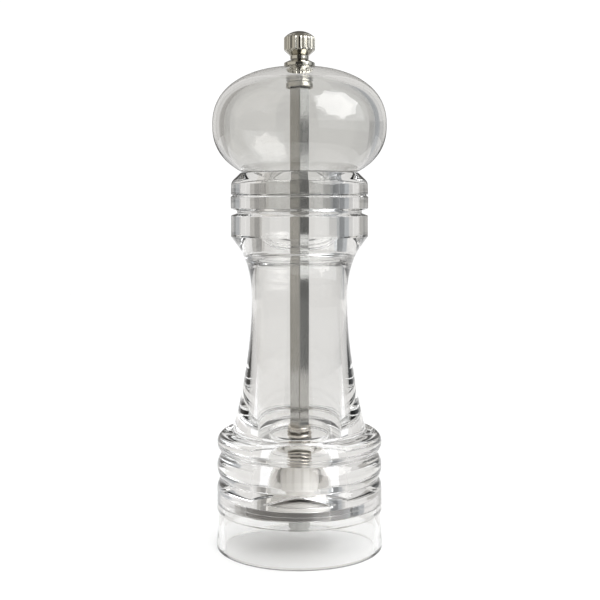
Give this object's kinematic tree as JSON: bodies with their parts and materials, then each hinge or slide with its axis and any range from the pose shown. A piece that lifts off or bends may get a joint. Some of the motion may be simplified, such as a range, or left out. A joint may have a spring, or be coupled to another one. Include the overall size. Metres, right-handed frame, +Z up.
{
  "type": "pepper mill",
  "caption": "Clear acrylic pepper mill with a hollow ball head, ringed and waisted body, square spindle, fluted adjusting knob and a burr grinder in the foot.",
  "frame": {"origin": "centre of the ring that the mill stands on, at the surface", "axes": "+Z up along the spindle to the knob, -Y to the front"},
  "size_m": [0.0676, 0.0676, 0.2],
  "materials": {
    "clear_acrylic": "clear, polished, faint fine scratches",
    "nickel": "bright nickel plate, slightly warm",
    "spindle_bar": "drawn square bar, fine lengthwise lines",
    "spring_steel": "nickel-plated wire, satin",
    "burr_ceramic": "fired ceramic, off-white, satin",
    "plate_steel": "stamped, satin",
    "bush_nylon": "natural nylon, translucent grey white"
  },
  "bodies": {
    "foot_and_body": {"body_shell": "clear_acrylic", "stator": "burr_ceramic", "mounting_plate": "plate_steel", "outlet_bridge": "nickel", "bridge_screw_1": "nickel", "bridge_screw_2": "nickel", "bridge_screw_3": "nickel"},
    "bush": {"guide_bush": "bush_nylon"},
    "spindle_set": {"spindle": "spindle_bar", "spring_collar": "spring_steel", "rotor_spring": "spring_steel", "spring_washer": "nickel", "rotor": "burr_ceramic", "rotor_clip": "spring_steel"},
    "head": {"head_dome": "clear_acrylic", "head_plug": "clear_acrylic", "head_ferrule": "nickel", "ferrule_nut": "nickel"},
    "knob": {"knob_nut": "nickel"}
  },
  "joints": [
    {"name": "head_turn", "type": "hinge", "parent": "foot_and_body", "child": "bush", "pos_m": [0, 0, 0.012], "axis": [0, 0, 1], "continuous": true},
    {"name": "head_lift", "type": "slide", "parent": "bush", "child": "head", "axis": [0, 0, 1], "range_m": [0, 0.07]},
    {"name": "knob_adjust", "type": "hinge", "parent": "head", "child": "knob", "pos_m": [0, 0, 0.195], "axis": [0, 0, 1], "range_deg": [0, 541]},
    {"name": "spindle_travel", "type": "slide", "parent": "bush", "child": "spindle_set", "axis": [0, 0, 1], "range_m": [-0.0012, 0]}
  ],
  "couplings": [
    {"joint": "knob_adjust", "follows": "spindle_travel", "rad_per_m": -7854}
  ]
}
